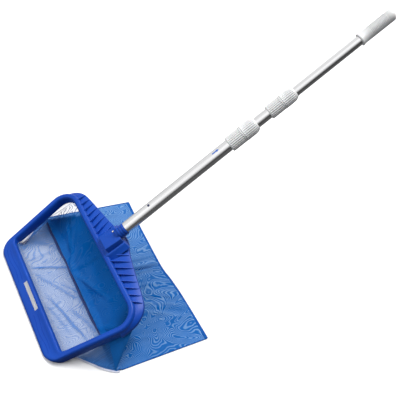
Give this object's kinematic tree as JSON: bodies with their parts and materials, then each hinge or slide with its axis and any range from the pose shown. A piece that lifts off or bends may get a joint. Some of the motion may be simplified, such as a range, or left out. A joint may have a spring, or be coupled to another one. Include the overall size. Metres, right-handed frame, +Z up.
{
  "type": "leaf skimmer net",
  "caption": "Pool leaf skimmer: a moulded rake head with a deep mesh bag on a short telescopic twist-lock pole.",
  "frame": {"origin": "middle of the hand grip, on the pole's axis, where one hand holds the pole", "axes": "+Z up; +Y from the head's lip towards the pole's end, level with the ground; +X along the head's front lip"},
  "size_m": [0.5664, 0.8726, 0.881],
  "materials": {
    "blue_plastic": "satin moulded royal blue",
    "navy_plastic": "dark navy moulded",
    "white_plastic": "off-white moulded, satin",
    "anodised_aluminium": "satin anodised, drawn along its length",
    "stainless_steel": "plain",
    "blue_mesh": "translucent woven polyester mesh",
    "grey_tape": "woven binding tape"
  },
  "bodies": {
    "head": {"head_frame": "blue_plastic", "handle_block": "blue_plastic", "block_screw": "stainless_steel", "clip_spring": "stainless_steel", "bag_spline": "blue_plastic", "bag_mesh": "blue_mesh", "bag_hem": "blue_mesh", "edge_tape_left": "grey_tape", "edge_tape_right": "grey_tape", "outer_tube": "anodised_aluminium", "lower_lock_body": "white_plastic", "lower_lock_collet": "navy_plastic"},
    "button_top": {"snap_button_top": "navy_plastic"},
    "button_bottom": {"snap_button_bottom": "navy_plastic"},
    "lower_nut": {"lower_lock_nut": "white_plastic"},
    "middle": {"middle_tube": "anodised_aluminium", "middle_tube_guide": "white_plastic", "upper_lock_body": "white_plastic", "upper_lock_collet": "navy_plastic"},
    "upper_nut": {"upper_lock_nut": "white_plastic"},
    "inner": {"inner_tube": "anodised_aluminium", "inner_tube_guide": "white_plastic", "hand_grip": "white_plastic"}
  },
  "joints": [
    {"name": "lower_lock_twist", "type": "hinge", "parent": "head", "child": "lower_nut", "pos_m": [0, -0.27872, -0.29577], "axis": [0, 0.6858, 0.7278], "range_deg": [0, 90]},
    {"name": "middle_tube_slide", "type": "slide", "parent": "head", "child": "middle", "axis": [0, 0.6858, 0.7278], "range_m": [-0.038, 0.16]},
    {"name": "upper_lock_twist", "type": "hinge", "parent": "middle", "child": "upper_nut", "pos_m": [0, -0.19121, -0.2029], "axis": [0, 0.6858, 0.7278], "range_deg": [0, 90]},
    {"name": "inner_tube_slide", "type": "slide", "parent": "middle", "child": "inner", "axis": [0, 0.6858, 0.7278], "range_m": [-0.2, 0.028]},
    {"name": "top_button_press", "type": "slide", "parent": "head", "child": "button_top", "axis": [0, 0.7278, -0.6858], "range_m": [0, 0.0044], "stiffness_N_per_m": 900, "springref_m": -0.0022},
    {"name": "bottom_button_press", "type": "slide", "parent": "head", "child": "button_bottom", "axis": [0, -0.7278, 0.6858], "range_m": [0, 0.0044], "stiffness_N_per_m": 900, "springref_m": -0.0022}
  ]
}
